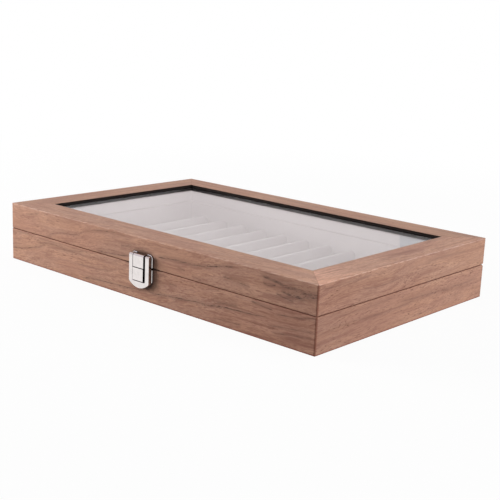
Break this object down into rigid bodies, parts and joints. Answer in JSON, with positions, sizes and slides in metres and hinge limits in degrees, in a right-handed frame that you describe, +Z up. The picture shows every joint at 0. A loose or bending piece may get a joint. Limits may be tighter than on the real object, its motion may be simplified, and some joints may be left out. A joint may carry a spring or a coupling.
{
  "type": "pen storage box",
  "caption": "Low rectangular pen box with a lined and divided base, a hinged frame lid round a glass pane, and a lever latch on the front.",
  "frame": {"origin": "middle of the underside of the box, on the surface that it stands on", "axes": "+X to the right along the long front side, -Y out of the front with the latch, +Y to the hinges, +Z up"},
  "size_m": [0.34, 0.2251, 0.05],
  "materials": {
    "walnut": "satin lacquered walnut veneer, grain along each board",
    "grey_lining": "short napped light grey flannel over board",
    "underside": "thin board faced with dark flocked paper",
    "clear_glass": "clear flat glass, polished",
    "black_strip": "black moulded strip, satin",
    "bright_metal": "bright nickel plate, polished",
    "hinge_metal": "nickel-plated steel, satin"
  },
  "bodies": {
    "base": {"base_front_wall": "walnut", "base_back_wall": "walnut", "base_left_wall": "walnut", "base_right_wall": "walnut", "bottom_panel": "underside", "slot_floor": "grey_lining", "base_front_lining": "grey_lining", "base_back_lining": "grey_lining", "base_left_lining": "grey_lining", "base_right_lining": "grey_lining", "slot_divider_01": "grey_lining", "slot_divider_02": "grey_lining", "slot_divider_03": "grey_lining", "slot_divider_04": "grey_lining", "slot_divider_05": "grey_lining", "slot_divider_06": "grey_lining", "slot_divider_07": "grey_lining", "slot_divider_08": "grey_lining", "slot_divider_09": "grey_lining", "slot_divider_10": "grey_lining", "slot_divider_11": "grey_lining", "hinge_left_base_leaf": "hinge_metal", "hinge_right_base_leaf": "hinge_metal", "hinge_left_pin": "hinge_metal", "hinge_right_pin": "hinge_metal", "hinge_base_screws": "hinge_metal", "latch_base_plate": "bright_metal"},
    "lid": {"lid_front_rail": "walnut", "lid_back_rail": "walnut", "lid_left_rail": "walnut", "lid_right_rail": "walnut", "window_front_strip": "black_strip", "window_back_strip": "black_strip", "window_left_strip": "black_strip", "window_right_strip": "black_strip", "glass_pane": "clear_glass", "lid_front_lining": "grey_lining", "lid_back_lining": "grey_lining", "lid_left_lining": "grey_lining", "lid_right_lining": "grey_lining", "hinge_left_lid_leaf": "hinge_metal", "hinge_right_lid_leaf": "hinge_metal", "hinge_lid_screws": "hinge_metal", "latch_lid_plate": "bright_metal", "latch_pin": "bright_metal"},
    "lever": {"latch_lever": "bright_metal"}
  },
  "joints": [
    {"name": "lid_hinge", "type": "hinge", "parent": "base", "child": "lid", "pos_m": [0, 0.1078, 0.0278], "axis": [-1, 0, 0], "range_deg": [0, 95]},
    {"name": "latch_lever", "type": "hinge", "parent": "lid", "child": "lever", "pos_m": [0, -0.1127, 0.0359], "axis": [-1, 0, 0], "range_deg": [0, 100]}
  ]
}
